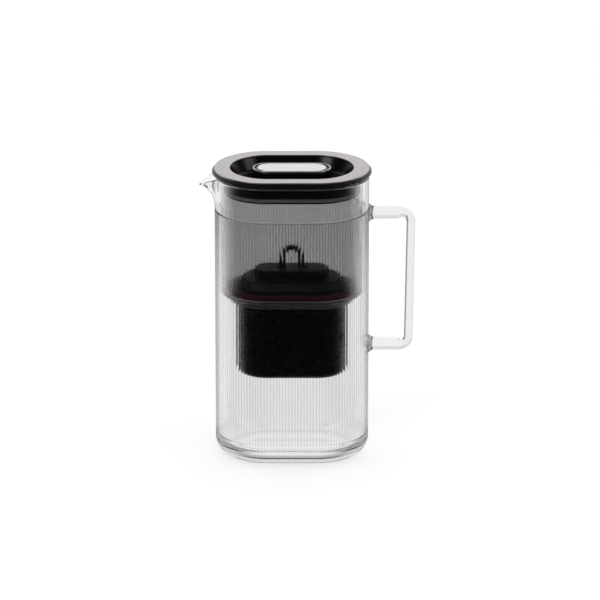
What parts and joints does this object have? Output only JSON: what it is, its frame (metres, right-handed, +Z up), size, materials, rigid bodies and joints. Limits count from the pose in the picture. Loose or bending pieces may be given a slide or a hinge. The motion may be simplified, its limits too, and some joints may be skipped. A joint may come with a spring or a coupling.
{
  "type": "water filter jug",
  "caption": "Ribbed glass filter jug with a drawn spout and bar handle, a smoked hopper, a cartridge in its cup and a lid with a sunken grip.",
  "frame": {"origin": "middle of the flat base, on the surface that the jug stands on", "axes": "+Z up, +X towards the handle, -X towards the spout, -Y towards the front"},
  "size_m": [0.2151, 0.1092, 0.3013],
  "materials": {
    "clear_glass": "clear, polished",
    "smoke_plastic": "smoked, clear",
    "black_plastic": "semi-gloss",
    "gloss_black_plastic": "high gloss",
    "charcoal_plastic": "fine matt",
    "red_silicone": "soft matt",
    "white_mesh": "woven",
    "filter_granules": "loose grains",
    "satin_grey_metal": "satin, grey",
    "bright_metal": "polished",
    "satin_silver": "satin, silver",
    "grey_silicone": "soft, translucent"
  },
  "bodies": {
    "jug": {"glass_body": "clear_glass", "glass_handle": "clear_glass"},
    "hopper_unit": {"hopper": "smoke_plastic", "cartridge_cup": "black_plastic"},
    "cartridge": {"cartridge_case": "charcoal_plastic", "cartridge_cap": "charcoal_plastic", "cartridge_seal": "red_silicone", "outlet_screen": "white_mesh", "filter_media": "filter_granules", "inlet_screen": "white_mesh"},
    "lid": {"lid_shell": "gloss_black_plastic", "lid_trim_ring": "satin_grey_metal", "grip_bezel": "bright_metal", "grip_cap": "satin_silver", "lid_liner": "black_plastic", "lid_seal": "grey_silicone"}
  },
  "joints": [
    {"name": "hopper_lift", "type": "slide", "parent": "jug", "child": "hopper_unit", "axis": [0, 0, 1], "range_m": [0, 0.22]},
    {"name": "lid_lift", "type": "slide", "parent": "hopper_unit", "child": "lid", "axis": [0, 0, 1], "range_m": [0, 0.06]},
    {"name": "cartridge_lift", "type": "slide", "parent": "hopper_unit", "child": "cartridge", "axis": [0, 0, 1], "range_m": [0, 0.055]}
  ]
}
